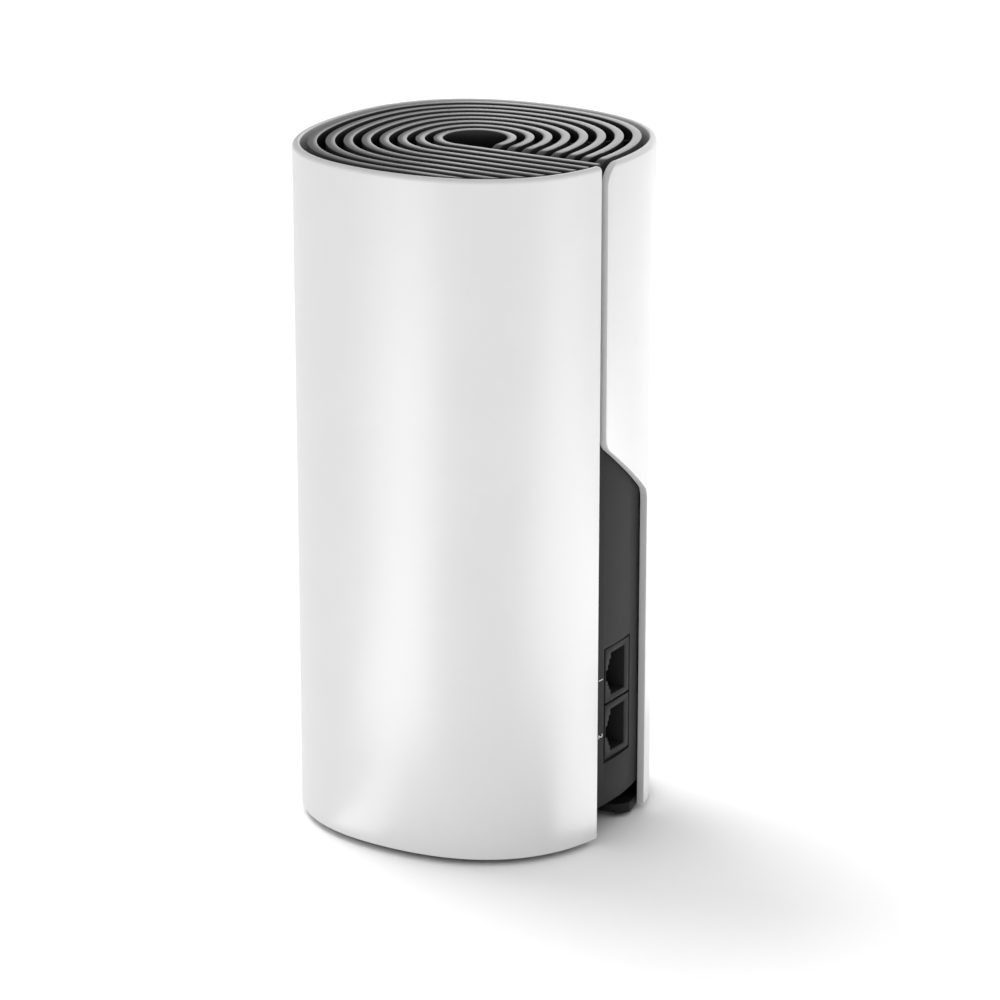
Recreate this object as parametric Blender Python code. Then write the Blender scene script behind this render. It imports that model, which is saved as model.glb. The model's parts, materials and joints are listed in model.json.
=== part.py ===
"""Mesh wifi node: a white rounded-square tower with a spiral vent grille and two network ports.

+Z is up, +Y is the side of the ports and -Y the front. The origin is the centre of the foot's underside.
"""

import math

import bmesh
import bpy
from mathutils import Matrix, Vector

MM = 0.001
GAP = 0.3 * MM  # clearance between pieces that rest on or pass through each other

# Overall body
HEIGHT = 185 * MM
HALF = 45.4 * MM  # axis to the middle of a flat side
BULGE = 2.4 * MM  # how much further out the corners lie

# Outer shell
SHELL_BOTTOM = 1.8 * MM
WALL = 2 * MM
RIM_FILLET = 1.2 * MM
SEAM_FLAP = 8.6 * MM  # X of the flap's end of the seam
SEAM_GAP = 2.75 * MM
FLAP_STEP = 24.2 * MM  # how far the flap steps back below
STEP_TOP = 110 * MM
STEP_DROP = 18.4 * MM
STEP_FILLET = 4.4 * MM

# Grille
HOLE = 8.4 * MM  # radius of the middle hole
BAR = 2.3 * MM
RINGS = 8
RING_GAP = 2 * MM  # between the outermost ring and the rim
PITCH = (HALF - WALL - RING_GAP - BAR - HOLE) / (RINGS - 1)
GRILLE_DEPTH = 8 * MM
END_ROUND = 5.7 * MM  # the ring ends and the flap's top corner
RIB_DROP = 3 * MM
RIB_WIDTH = 1.6 * MM
SKIRT_BOTTOM = HEIGHT - 12 * MM
SKIRT_WALL = 2.4 * MM
SKIRT_DROP = 4.4 * MM
RIM_GAP = 0.5 * MM

BOARD_X = -8.8 * MM  # the upright main board's face on the side of the ports

# Inner frame
FRAME_BOTTOM = 8.9 * MM
FRAME_TOP = SKIRT_BOTTOM - 0.5 * MM
FRAME_WALL = 2 * MM
FRAME_SPLIT = (30, 150)  # angles between which the rear half lies
FRAME_JOINT = 0.5  # angle left open at each joint of the halves
GUIDE_WALL = 1.6 * MM
GUIDE_REACH = 4.5 * MM
LUG_WIDTH = 8 * MM
LUG_HEIGHT = 8 * MM

# Base
BASE_BOTTOM = 1.2 * MM
BASE_PLATE_TOP = 4 * MM
BASE_TOP = 10.5 * MM
BASE_INSET = WALL + 0.5 * MM  # the base plate stands this far inside the outer face
PEDESTAL_INSET = 8 * MM
FOOT_INNER = HALF - 12.5 * MM
FOOT_OUTER = HALF - 6 * MM
FOOT_HEIGHT = 1.6 * MM
NOTCH_LEFT = BOARD_X + 2.7 * MM
NOTCH_WIDTH = 13 * MM
NOTCH_ROUND = 7 * MM
FOOT_CUT = 5.6 * MM  # the foot's ends stand back from the notch by this much
POCKET_LEFT = BOARD_X - 0.8 * MM
POCKET_TOP = 8.7 * MM

# Main board, upright and across the middle
BOARD_THICK = 1.6 * MM
BOARD_FRONT = -HALF + 7.5 * MM
BOARD_REAR = HALF - 6 * MM
BOARD_BOTTOM = 12 * MM
BOARD_TOP = FRAME_TOP - 4.5 * MM

# Network ports, standing on their side
PORT_Z = 29.1 * MM
PORT_PITCH = 15.9 * MM
PORT_HEIGHT = 15.4 * MM
PORT_WIDTH = 12.7 * MM
PORT_DEPTH = 18 * MM
PORT_FACE = HALF - WALL - 0.7 * MM
SOCKET_HEIGHT = 11.9 * MM
SOCKET_WIDTH = 7.2 * MM
SOCKET_SIDE = 2.6 * MM  # wall that carries the contacts
SOCKET_DEPTH = 13 * MM
LATCH_HEIGHT = 5.9 * MM
LATCH_DEPTH = 1.5 * MM
KEY_HEIGHT = 3.2 * MM
KEY_DEPTH = 1 * MM
CONTACTS = 8
CONTACT_PITCH = 1.02 * MM

# Power socket
POWER_BODY = (11 * MM, 9 * MM, 14 * MM)
POWER_Y = PORT_FACE - PORT_DEPTH - 6.5 * MM
POCKET_BACK = POWER_Y - 9 * MM
POCKET_FRONT = POWER_Y + 10.5 * MM
POWER_BOTTOM = 9.3 * MM
POWER_BORE = 3.2 * MM
POWER_PIN = 1 * MM

# Cooling
CHIP_THICK = 1.4 * MM
PAD_THICK = 1 * MM
SINK_PLATE = 3 * MM
SINK_FIN = 1.6 * MM
SINK_HALF = HALF - 23 * MM
SINK_BOTTOM = 66 * MM
SINK_TOP = BOARD_TOP - 18 * MM
SINK_SCREW_INSET = 7 * MM
FIN_REACH_LEFT = HALF - 35.5 * MM
FIN_REACH_RIGHT = HALF - 24.5 * MM
FINS = 5

# Reset button
RESET_X = BOARD_X - 4.9 * MM
RESET_Y = 5 * MM
RESET_CAP = 2.6 * MM
RESET_STEM = 1.5 * MM
RESET_COLLAR = 2.4 * MM
RESET_STEP = 4.4 * MM
RESET_TRAVEL = 0.6 * MM

# Aerials and their leads
AERIAL = (14 * MM, 1 * MM, 45 * MM)
AERIAL_BOTTOM = BOARD_TOP - 50 * MM
AERIAL_RADIUS = HALF - 9.5 * MM
LEAD_RADIUS = 0.6 * MM
LEAD_Z = 58.5 * MM
PLUG_SIZE = 1.8 * MM

# Screws
SHANK = 1.3 * MM
HEAD = 2.5 * MM
HEAD_HEIGHT = 1.6 * MM
BASE_SCREWS = (45, 128, 215, 325)
BASE_SCREW_RADIUS = HALF - 8 * MM

ROUND_STEPS = 16

PALETTE = {
    "white_shell": ((0.86, 0.86, 0.86, 1), 0.35, 0),
    "black_grille": ((0.035, 0.035, 0.037, 1), 0.35, 0),
    "black_plastic": ((0.03, 0.03, 0.032, 1), 0.5, 0),
    "rubber": ((0.02, 0.02, 0.02, 1), 0.8, 0),
    "board": ((0.02, 0.12, 0.06, 1), 0.5, 0),
    "chip": ((0.02, 0.02, 0.02, 1), 0.5, 0),
    "aluminium": ((0.7, 0.7, 0.72, 1), 0.35, 1),
    "steel": ((0.55, 0.55, 0.56, 1), 0.3, 1),
    "gold": ((0.85, 0.6, 0.25, 1), 0.3, 1),
    "pad": ((0.35, 0.4, 0.5, 1), 0.8, 0),
    "clear": ((0.9, 0.9, 0.9, 0.5), 0.2, 0),
    "paper": ((0.8, 0.8, 0.8, 1), 0.7, 0),
}


def clear_scene():
    for item in list(bpy.data.objects):
        bpy.data.objects.remove(item, do_unlink=True)


def material(slot):
    """The named material, made when it is first asked for."""
    found = bpy.data.materials.get(slot)
    if found:
        return found
    colour, roughness, metallic = PALETTE[slot]
    made = bpy.data.materials.new(slot)
    made.use_nodes = True
    shader = made.node_tree.nodes["Principled BSDF"]
    shader.inputs["Base Color"].default_value = colour
    shader.inputs["Roughness"].default_value = roughness
    shader.inputs["Metallic"].default_value = metallic
    return made


def add_object(name, shape, slot, origin=(0, 0, 0)):
    """An object from a bmesh in world positions, with its origin at the point given."""
    bmesh.ops.recalc_face_normals(shape, faces=shape.faces)
    bmesh.ops.translate(shape, verts=shape.verts, vec=-Vector(origin))
    mesh = bpy.data.meshes.new(name)
    shape.to_mesh(mesh)
    shape.free()
    mesh.shade_smooth()
    mesh.set_sharp_from_angle(angle=math.radians(30))
    mesh.materials.append(material(slot))
    made = bpy.data.objects.new(name, mesh)
    made.location = origin
    bpy.context.scene.collection.objects.link(made)
    return made


def helper(name, shape):
    """A cutter or a piece to be joined, which isn't a part of its own."""
    made = add_object(name, shape, "chip")
    made.hide_render = True
    made.display_type = "WIRE"
    return made


def boolean(target, other, operation):
    step = target.modifiers.new(other.name, "BOOLEAN")
    step.operation = operation
    step.object = other


def cut(target, name, shape):
    boolean(target, helper(name, shape), "DIFFERENCE")


def join(target, name, shape):
    boolean(target, helper(name, shape), "UNION")


def block(x, y, z):
    """A box between the (low, high) pairs."""
    shape = bmesh.new()
    bmesh.ops.create_cube(shape, size=1)
    size = Vector((x[1] - x[0], y[1] - y[0], z[1] - z[0]))
    middle = Vector((x[0] + x[1], y[0] + y[1], z[0] + z[1])) / 2
    place = Matrix.Translation(middle) @ Matrix.Diagonal((*size, 1))
    bmesh.ops.transform(shape, matrix=place, verts=shape.verts)
    return shape


def add_block(shape, x, y, z):
    """Adds a box to a shape that already holds others."""
    extra = block(x, y, z)
    mesh = bpy.data.meshes.new("extra")
    extra.to_mesh(mesh)
    extra.free()
    shape.from_mesh(mesh)
    bpy.data.meshes.remove(mesh)


def prism(outline_points, low, high, axis="Z"):
    """A flat outline drawn out from low to high. Along Y the outline is (x, z), along X it is (y, z)."""
    place = {
        "X": lambda a, b, c: (c, a, b),
        "Y": lambda a, b, c: (a, c, b),
        "Z": lambda a, b, c: (a, b, c),
    }[axis]
    shape = bmesh.new()
    ends = [[shape.verts.new(place(a, b, c)) for a, b in outline_points] for c in (low, high)]
    for end in ends:
        shape.faces.new(end)
    for i in range(len(outline_points)):
        shape.faces.new((ends[0][i - 1], ends[0][i], ends[1][i], ends[1][i - 1]))
    return shape


def circle(centre, radius, steps=ROUND_STEPS):
    turn = [2 * math.pi * i / steps for i in range(steps)]
    return [(centre[0] + radius * math.cos(a), centre[1] + radius * math.sin(a)) for a in turn]


def turn_about_axis(shape, degrees):
    turn = Matrix.Rotation(math.radians(degrees), 3, "Z")
    bmesh.ops.rotate(shape, cent=(0, 0, 0), matrix=turn, verts=shape.verts)


def rod(centre, radius, low, high, axis="Z", steps=ROUND_STEPS):
    return prism(circle(centre, radius, steps), low, high, axis)


def turned(profile, x, y, steps=ROUND_STEPS):
    """A solid of revolution about the vertical through x, y, from (radius, z) points of its side."""
    shape = bmesh.new()
    rows = [[shape.verts.new((a, b, z)) for a, b in circle((x, y), radius, steps)] for radius, z in profile]
    for low, high in zip(rows, rows[1:]):
        for i in range(steps):
            shape.faces.new((low[i - 1], low[i], high[i], high[i - 1]))
    shape.faces.new(rows[0])
    shape.faces.new(rows[-1])
    return shape


def arc(centre, radius, start, end, steps=6):
    """Points of an arc, with its angles in degrees."""
    angles = [math.radians(start + (end - start) * i / steps) for i in range(steps + 1)]
    return [(centre[0] + radius * math.cos(a), centre[1] + radius * math.sin(a)) for a in angles]


def rounded(points, radii):
    """The outline with each corner replaced by an arc of its radius, where that isn't 0."""
    made = []
    for i, (corner, radius) in enumerate(zip(points, radii)):
        here = Vector(corner)
        back = (Vector(points[i - 1]) - here).normalized()
        ahead = (Vector(points[(i + 1) % len(points)]) - here).normalized()
        if not radius:
            made.append(corner)
            continue
        half = back.angle(ahead) / 2
        centre = here + (back + ahead).normalized() * radius / math.sin(half)
        first, last = here + back * radius / math.tan(half), here + ahead * radius / math.tan(half)
        start = math.atan2(first.y - centre.y, first.x - centre.x)
        sweep_angle = math.atan2(last.y - centre.y, last.x - centre.x) - start
        sweep_angle = (sweep_angle + math.pi) % (2 * math.pi) - math.pi
        made += arc(centre, radius, math.degrees(start), math.degrees(start + sweep_angle), 5)
    return made


def reach(level, angle):
    """Distance from the axis of the outline with flats at this level, round in the grille's middle."""
    outermost = HOLE + (RINGS - 1) * PITCH + BAR
    share = min(1, max(0, (level - HOLE) / (outermost - HOLE)))
    return level + BULGE * share * math.sin(2 * angle) ** 2


def on_outline(level, angle):
    distance = reach(level, angle)
    return distance * math.cos(angle), distance * math.sin(angle)


def outline_y(level, x):
    """Rear Y at which the outline of this level passes x."""
    y = level
    for _ in range(12):
        y = math.sqrt(reach(level, math.atan2(y, x)) ** 2 - x * x)
    return y


def loop(level, steps):
    return [on_outline(level, 2 * math.pi * i / steps) for i in range(steps)]


def sweep(profile, start=0, end=360, steps=64):
    """A wall swept round the outline, from (level, z) points. Over 360 degrees it closes on itself."""
    closed = end - start == 360
    shape = bmesh.new()
    angles = [math.radians(start + (end - start) * i / steps) for i in range(steps + (not closed))]
    rows = [[shape.verts.new((*on_outline(level, a), z)) for level, z in profile] for a in angles]
    for here, ahead in zip(rows, rows[1:] + rows[:1] if closed else rows[1:]):
        for i in range(len(profile)):
            shape.faces.new((here[i - 1], here[i], ahead[i], ahead[i - 1]))
    if not closed:
        shape.faces.new(rows[0])
        shape.faces.new(rows[-1])
    return shape


def band(inner, outer, low, high):
    """The corners of a plain rectangular wall section."""
    return [(inner, low), (outer, low), (outer, high), (inner, high)]


def seam_outline():
    """The XZ outline of all that the shell lacks at the rear: seam, flap corner and port opening."""
    shell_end = SEAM_FLAP + SEAM_GAP
    above, below = HEIGHT + 5 * MM, -5 * MM
    corner = arc((SEAM_FLAP - END_ROUND, HEIGHT - END_ROUND), END_ROUND, 90, 0)
    low_left = SEAM_FLAP - FLAP_STEP
    step = rounded(
        [
            (SEAM_FLAP, HEIGHT / 2 + STEP_TOP / 2),
            (SEAM_FLAP, STEP_TOP),
            (low_left, STEP_TOP - STEP_DROP),
            (low_left, below),
        ],
        [0, STEP_FILLET, STEP_FILLET, 0],
    )
    return [(shell_end, above), (SEAM_FLAP - END_ROUND, above), *corner, *step, (shell_end, below)]


def build_shell():
    outside, inside, edge = HALF, HALF - WALL, 0.5 * MM
    fillet = arc((outside - RIM_FILLET, HEIGHT - RIM_FILLET), RIM_FILLET, 0, 90, 4)
    inner_side = [(inside + edge, HEIGHT), (inside, HEIGHT - edge), (inside, SHELL_BOTTOM)]
    profile = [(outside, SHELL_BOTTOM), *fillet, *inner_side]
    shell = add_object("outer_shell", sweep(profile, steps=72), "white_shell")
    cut(shell, "seam_cutter", prism(seam_outline(), HALF / 2, HALF * 1.3, "Y"))


def ring_stations(level):
    """(inner point, outer point, top z) along one ring, from its sunken end to the rim."""
    inner, outer = level, level + BAR
    sunk = HEIGHT - END_ROUND
    stations = [((HOLE + BAR / 2, inner), (HOLE + BAR / 2, outer), sunk)]
    for x, top in arc((HOLE - END_ROUND, sunk), END_ROUND, 0, 90):
        stations.append(((x, inner), (x, outer), top))
    steps = 12 + round(24 * level / HALF)
    for i in range(steps + 1):
        angle = math.radians(90 + 270 * i / steps)
        stations.append((on_outline(inner, angle), on_outline(outer, angle), HEIGHT))
    rim = HALF - WALL - RIM_GAP
    stations.append(((inner, outline_y(rim, inner)), (outer, outline_y(rim, outer)), HEIGHT))
    return stations


def ring(level):
    shape = bmesh.new()
    floor = HEIGHT - GRILLE_DEPTH
    rows = []
    for inner, outer, top in ring_stations(level):
        corners = [(*inner, floor), (*outer, floor), (*outer, top), (*inner, top)]
        rows.append([shape.verts.new(corner) for corner in corners])
    for here, ahead in zip(rows, rows[1:]):
        for i in range(4):
            shape.faces.new((here[i - 1], here[i], ahead[i], ahead[i - 1]))
    shape.faces.new(rows[0])
    shape.faces.new(rows[-1])
    return shape


def build_grille():
    outer = HALF - WALL - GAP
    skirt = band(outer - SKIRT_WALL, outer, SKIRT_BOTTOM, HEIGHT - SKIRT_DROP)
    grille = add_object("top_grille", sweep(skirt, steps=48), "black_grille")
    for i in range(RINGS):
        join(grille, f"grille_ring_{i}", ring(HOLE + i * PITCH))
    for diagonal in (45, 135, 225, 315):
        rib_z = (HEIGHT - GRILLE_DEPTH - MM, HEIGHT - RIB_DROP)
        rib = block((HOLE + BAR / 2, outer), (-RIB_WIDTH / 2, RIB_WIDTH / 2), rib_z)
        turn_about_axis(rib, diagonal)
        join(grille, f"grille_rib_{diagonal}", rib)


def port_heights():
    return [PORT_Z + PORT_PITCH, PORT_Z]


def port_sides():
    """Low and high X of a port's body, which stands off the board by the gap."""
    return BOARD_X + GAP, BOARD_X + GAP + PORT_WIDTH


def lug(degrees):
    """A screw lug on the inside of the frame, at this angle."""
    near = BASE_SCREW_RADIUS - LUG_WIDTH / 2
    far = reach(HALF - WALL - GAP - FRAME_WALL / 2, math.radians(degrees))
    bottom = BASE_TOP + GAP
    shape = block((near, far), (-LUG_WIDTH / 2, LUG_WIDTH / 2), (bottom, bottom + LUG_HEIGHT))
    turn_about_axis(shape, degrees)
    return shape


def polar(radius, degrees):
    return radius * math.cos(math.radians(degrees)), radius * math.sin(math.radians(degrees))


def add_lugs(frame, angles):
    for degrees in angles:
        join(frame, f"lug_{degrees}", lug(degrees))
        hole = rod(polar(BASE_SCREW_RADIUS, degrees), SHANK + GAP, FRAME_BOTTOM, BASE_TOP + LUG_HEIGHT - MM)
        cut(frame, f"lug_hole_{degrees}", hole)


def guide_shape(y_range, z_range):
    """The two ribs that hold the board's edge between them."""
    left, right = BOARD_X - BOARD_THICK - GAP, BOARD_X + GAP
    shape = block((left - GUIDE_WALL, left), y_range, z_range)
    add_block(shape, (right, right + GUIDE_WALL), y_range, z_range)
    return shape


def build_frames():
    outer = HALF - WALL - GAP
    section = band(outer - FRAME_WALL, outer, FRAME_BOTTOM, FRAME_TOP)
    first, last = FRAME_SPLIT
    rear = add_object("rear_frame", sweep(section, first, last, 26), "black_plastic")
    ports = port_heights()
    low, high = port_sides()
    window_z = (ports[-1] - PORT_HEIGHT / 2 - GAP, ports[0] + PORT_HEIGHT / 2 + GAP)
    cut(rear, "port_window", block((low - GAP, high + GAP), (BOARD_REAR, HALF), window_z))
    guide_y = outline_y(outer - FRAME_WALL, BOARD_X - BOARD_THICK) + FRAME_WALL / 2
    guides = guide_shape((BOARD_REAR - GUIDE_REACH, guide_y), (window_z[1] + LUG_HEIGHT, FRAME_TOP - 4 * MM))
    join(rear, "rear_guides", guides)
    add_lugs(rear, BASE_SCREWS[:2])

    start, end = last + FRAME_JOINT, 360 + first - FRAME_JOINT
    front = add_object("front_frame", sweep(section, start, end, 50), "black_plastic")
    guides = guide_shape((-guide_y, BOARD_FRONT + GUIDE_REACH), (BOARD_BOTTOM + MM, FRAME_TOP - 4 * MM))
    join(front, "front_guides", guides)
    add_lugs(front, BASE_SCREWS[2:])
    for degrees in (180, 205, 335, 360):
        slot = block((HALF * 0.8, HALF), (-1.5 * MM, 1.5 * MM), (30 * MM, 100 * MM))
        turn_about_axis(slot, degrees)
        cut(front, f"vent_{degrees}", slot)


def notch_outline():
    """The plan of the cable notch, rounded where it meets the base plate's edge."""
    left, right = NOTCH_LEFT, NOTCH_LEFT + NOTCH_WIDTH
    inner, edge, past = POCKET_FRONT - 2 * MM, HALF - BASE_INSET - 0.3 * MM, HALF + 10 * MM
    radius = NOTCH_ROUND
    flare_right = arc((right + radius, edge - radius), radius, 180, 90, 5)
    flare_left = arc((left - radius, edge - radius), radius, 90, 0, 5)
    mouth = [(right + radius, past), (left - radius, past)]
    return [(left, inner), (right, inner), *flare_right, *mouth, *flare_left]


def build_base():
    plate, pedestal = HALF - BASE_INSET, HALF - PEDESTAL_INSET
    base = add_object("base_cover", prism(loop(plate, 48), BASE_BOTTOM, BASE_PLATE_TOP), "black_plastic")
    join(base, "pedestal", prism(loop(pedestal, 48), BASE_PLATE_TOP - MM, BASE_TOP))
    groove = band(FOOT_INNER - GAP, FOOT_OUTER + GAP, 0, FOOT_HEIGHT + GAP)
    cut(base, "foot_groove", sweep(groove, steps=48))
    cut(base, "cable_notch", prism(notch_outline(), 0, BASE_TOP + MM))
    pocket_x = (POCKET_LEFT, NOTCH_LEFT + NOTCH_WIDTH)
    cut(base, "plug_pocket", block(pocket_x, (POCKET_BACK, POCKET_FRONT), (0, POCKET_TOP)))
    x, y, _ = power_box()
    hole = block((x[0] - GAP, x[1] + GAP), (y[0] - GAP, y[1] + GAP), (POCKET_TOP - MM, BASE_TOP + MM))
    cut(base, "power_hole", hole)
    for degrees in BASE_SCREWS:
        at = polar(BASE_SCREW_RADIUS, degrees)
        head_top = FOOT_HEIGHT + 2 * GAP + HEAD_HEIGHT + GAP
        head_way, shank_way = HEAD + GAP, SHANK + GAP
        bore = [(head_way, 0), (head_way, head_top), (shank_way, head_top), (shank_way, BASE_TOP + MM)]
        cut(base, f"base_hole_{degrees}", turned(bore, *at, 12))
    shoulder = RESET_STEP + RESET_TRAVEL + GAP
    wide, narrow = RESET_CAP + GAP, RESET_STEM + GAP
    button_bore = [(wide, 0), (wide, shoulder), (narrow, shoulder), (narrow, BASE_TOP + MM)]
    cut(base, "button_bore", turned(button_bore, RESET_X, RESET_Y))
    cut(base, "light_bore", rod(light_spot(), 1.5 * MM + GAP, 0, BASE_TOP + MM, steps=12))

    foot = add_object("foot_ring", sweep(band(FOOT_INNER, FOOT_OUTER, 0, FOOT_HEIGHT), steps=48), "rubber")
    gap_x = (NOTCH_LEFT - FOOT_CUT, NOTCH_LEFT + NOTCH_WIDTH + FOOT_CUT)
    foot_gap = block(gap_x, (POCKET_BACK, HALF), (-MM, FOOT_HEIGHT + MM))
    cut(foot, "foot_notch", foot_gap)
    label = rod((0, -14 * MM), 11 * MM, BASE_BOTTOM - GAP - 0.2 * MM, BASE_BOTTOM - GAP, steps=24)
    add_object("rating_label", label, "paper")


def build_board():
    board_x = (BOARD_X - BOARD_THICK, BOARD_X)
    plate = block(board_x, (BOARD_FRONT, BOARD_REAR), (BOARD_BOTTOM, BOARD_TOP))
    board = add_object("main_board", plate, "board")
    for name, y, z in [*sink_screw_spots(), *board_screw_spots()]:
        cut(board, f"{name}_hole", rod((y, z), SHANK + GAP, board_x[0] - MM, board_x[1] + MM, "X", 12))


def socket_outline(z):
    """The XZ outline of a plug socket: the plug's room, then two steps for its latch."""
    x = port_sides()[0] + SOCKET_SIDE
    steps = [(0, SOCKET_HEIGHT), (SOCKET_WIDTH, SOCKET_HEIGHT), (SOCKET_WIDTH, LATCH_HEIGHT)]
    steps += [(SOCKET_WIDTH + LATCH_DEPTH, LATCH_HEIGHT), (SOCKET_WIDTH + LATCH_DEPTH, KEY_HEIGHT)]
    steps += [(SOCKET_WIDTH + LATCH_DEPTH + KEY_DEPTH, KEY_HEIGHT)]
    upper = [(x + depth, z + height / 2) for depth, height in steps]
    lower = [(x + depth, z - height / 2) for depth, height in reversed(steps)]
    return upper + lower


def build_ports():
    low, high = port_sides()
    back = PORT_FACE - PORT_DEPTH
    for number, z in enumerate(port_heights(), 1):
        body = block((low, high), (back, PORT_FACE), (z - PORT_HEIGHT / 2, z + PORT_HEIGHT / 2))
        jack = add_object(f"rj45_jack_{number}", body, "black_plastic")
        room = prism(socket_outline(z), PORT_FACE - SOCKET_DEPTH, PORT_FACE + MM, "Y")
        cut(jack, f"socket_{number}", room)
        floor = low + SOCKET_SIDE + GAP
        rear = PORT_FACE - SOCKET_DEPTH + GAP
        carrier = block((floor, floor + 5 * MM), (rear, rear + 1.5 * MM), (z - 5 * MM, z + 5 * MM))
        comb = add_object(f"rj45_contacts_{number}", carrier, "gold")
        for i in range(CONTACTS):
            middle = z + (i - (CONTACTS - 1) / 2) * CONTACT_PITCH
            wire_y, wire_z = (rear + MM, PORT_FACE - 3 * MM), (middle - 0.2 * MM, middle + 0.2 * MM)
            join(comb, f"contact_{number}_{i}", block((floor + 0.4 * MM, floor + 0.8 * MM), wire_y, wire_z))


def power_box():
    x = (BOARD_X + GAP, BOARD_X + GAP + POWER_BODY[0])
    y = (POWER_Y - POWER_BODY[1] / 2, POWER_Y + POWER_BODY[1] / 2)
    return x, y, (POWER_BOTTOM, POWER_BOTTOM + POWER_BODY[2])


def build_power():
    x, y, z = power_box()
    middle = ((x[0] + x[1]) / 2, POWER_Y)
    socket = add_object("power_socket", block(x, y, z), "black_plastic")
    cut(socket, "power_bore", rod(middle, POWER_BORE, z[0] - MM, z[0] + 9.5 * MM))
    pin_top = z[0] + 9.5 * MM - GAP
    add_object("power_pin", rod(middle, POWER_PIN, z[0] + MM, pin_top, steps=10), "steel")


def on_left(depth, thick):
    """X range of a piece on the board's far side, this deep above its face."""
    face = BOARD_X - BOARD_THICK - GAP
    return face - depth - thick, face - depth


def on_right(depth, thick):
    face = BOARD_X + GAP
    return face + depth, face + depth + thick


def build_chips():
    """Flat pieces soldered to the board: name, side, thickness, (y, z) middle, (y, z) size, material."""
    front, rear, ports = BOARD_FRONT / MM, BOARD_REAR / MM, (PORT_FACE - PORT_DEPTH) / MM
    sink = SINK_HALF / MM
    pieces = [
        ("main_chip", on_left, CHIP_THICK, (-1, 98), (16, 16), "chip"),
        ("memory_chip", on_left, 1.1 * MM, (-18, 98), (9, 13), "chip"),
        ("flash_chip", on_left, 1.8 * MM, (12, 57), (6, 8), "chip"),
        ("switch_chip", on_left, CHIP_THICK, (8, 38), (13, 13), "chip"),
        ("clock_crystal", on_left, 1 * MM, (sink - 31.4, 74), (3, 5), "steel"),
        ("lan_transformer_1", on_left, 6 * MM, (rear - 11.5, 45.5), (8, 14), "chip"),
        ("lan_transformer_2", on_left, 6 * MM, (rear - 11.5, 30), (8, 14), "chip"),
        ("wifi_shield_low", on_left, 3 * MM, (front + 19, 38), (22, 26), "steel"),
        ("wifi_shield_high", on_right, 3 * MM, (0, 98), (32, 32), "steel"),
        ("power_inductor", on_right, 4 * MM, (ports - 11.4, 32), (8, 8), "chip"),
        ("reset_switch", on_left, 6 * MM, (RESET_Y / MM, 15.5), (6, 5), "chip"),
        ("status_light", on_left, 4.2 * MM, (light_spot()[1] / MM, 14.6), (3.4, 1.8), "clear"),
    ]
    for name, side, thick, (y, z), (wide, tall), slot in pieces:
        y_range = ((y - wide / 2) * MM, (y + wide / 2) * MM)
        z_range = ((z - tall / 2) * MM, (z + tall / 2) * MM)
        add_object(name, block(side(0, thick), y_range, z_range), slot)
    x = on_right(0, 11 * MM)
    for number, y in enumerate((-8, -19), 1):
        add_object(f"capacitor_{number}", rod((y * MM, 28 * MM), 4 * MM, *x, "X"), "aluminium")


def light_spot():
    """Plan position of the status light and of the clear pipe under it."""
    left, right = on_left(0, 4.2 * MM)
    return (left + right) / 2, BOARD_FRONT + 12.5 * MM


def build_light_pipe():
    pipe = rod(light_spot(), 1.5 * MM, BASE_BOTTOM + 0.4 * MM, 13.7 * MM - GAP, steps=12)
    add_object("light_pipe", pipe, "clear")


def sink_screw_spots():
    """(name, y, z) of the screws that hold the two heat sinks, each midway between two fins."""
    side = (2 * SINK_HALF - SINK_FIN) * (0.5 - 0.5 / (FINS - 1))
    low, high = SINK_BOTTOM + SINK_SCREW_INSET, SINK_TOP - SINK_SCREW_INSET
    spots = [(-side, low), (side, high), (side, low), (-side, high)]
    return [(f"sink_screw_{i}", y, z) for i, (y, z) in enumerate(spots, 1)]


def board_screw_spots():
    y = BOARD_FRONT + GUIDE_REACH / 2
    return [("board_screw_1", y, 50 * MM), ("board_screw_2", y, 150 * MM)]


def build_cooling():
    """A pad and a finned sink on each side of the board."""
    sides = [
        ("left", on_left, CHIP_THICK, (-9, 7), (90, 106), FIN_REACH_LEFT, -1),
        ("right", on_right, 3 * MM, (-16, 16), (82, 114), FIN_REACH_RIGHT, 1),
    ]
    for name, side, chip, pad_y, pad_z, fin_reach, facing in sides:
        y_range, z_range = tuple(v * MM for v in pad_y), tuple(v * MM for v in pad_z)
        add_object(f"thermal_pad_{name}", block(side(chip + GAP, PAD_THICK), y_range, z_range), "pad")
        depth = chip + PAD_THICK + 2 * GAP
        plate = side(depth, SINK_PLATE)
        slab = block(plate, (-SINK_HALF, SINK_HALF), (SINK_BOTTOM, SINK_TOP))
        sink = add_object(f"heat_sink_{name}", slab, "aluminium")
        fins = side(depth + SINK_PLATE - MM, fin_reach)
        for i in range(FINS):
            y = (i / (FINS - 1) - 0.5) * (2 * SINK_HALF - SINK_FIN)
            fin = block(fins, (y - SINK_FIN / 2, y + SINK_FIN / 2), (SINK_BOTTOM, SINK_TOP))
            join(sink, f"fin_{name}_{i}", fin)
        mine = sink_screw_spots()[:2] if facing < 0 else sink_screw_spots()[2:]
        for screw, y, z in mine:
            cut(sink, f"{screw}_way", rod((y, z), SHANK + GAP, plate[0] - MM, plate[1] + MM, "X", 12))
            outside = plate[0] - GAP if facing < 0 else plate[1] + GAP
            tip = BOARD_X + 1.5 * MM if facing < 0 else BOARD_X - BOARD_THICK - 1.5 * MM
            add_screw(screw, (y, z), outside, tip, "X")


def add_screw(name, spot, under_head, tip, axis):
    """A round-headed screw whose head lies on the far side of under_head from its tip."""
    away = 1 if under_head > tip else -1
    top = under_head + away * HEAD_HEIGHT
    shape = rod(spot, SHANK, *sorted((tip, under_head + away * HEAD_HEIGHT / 2)), axis, 10)
    screw = add_object(name, shape, "steel")
    join(screw, f"{name}_head", rod(spot, HEAD, *sorted((under_head, top)), axis, 10))


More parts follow.
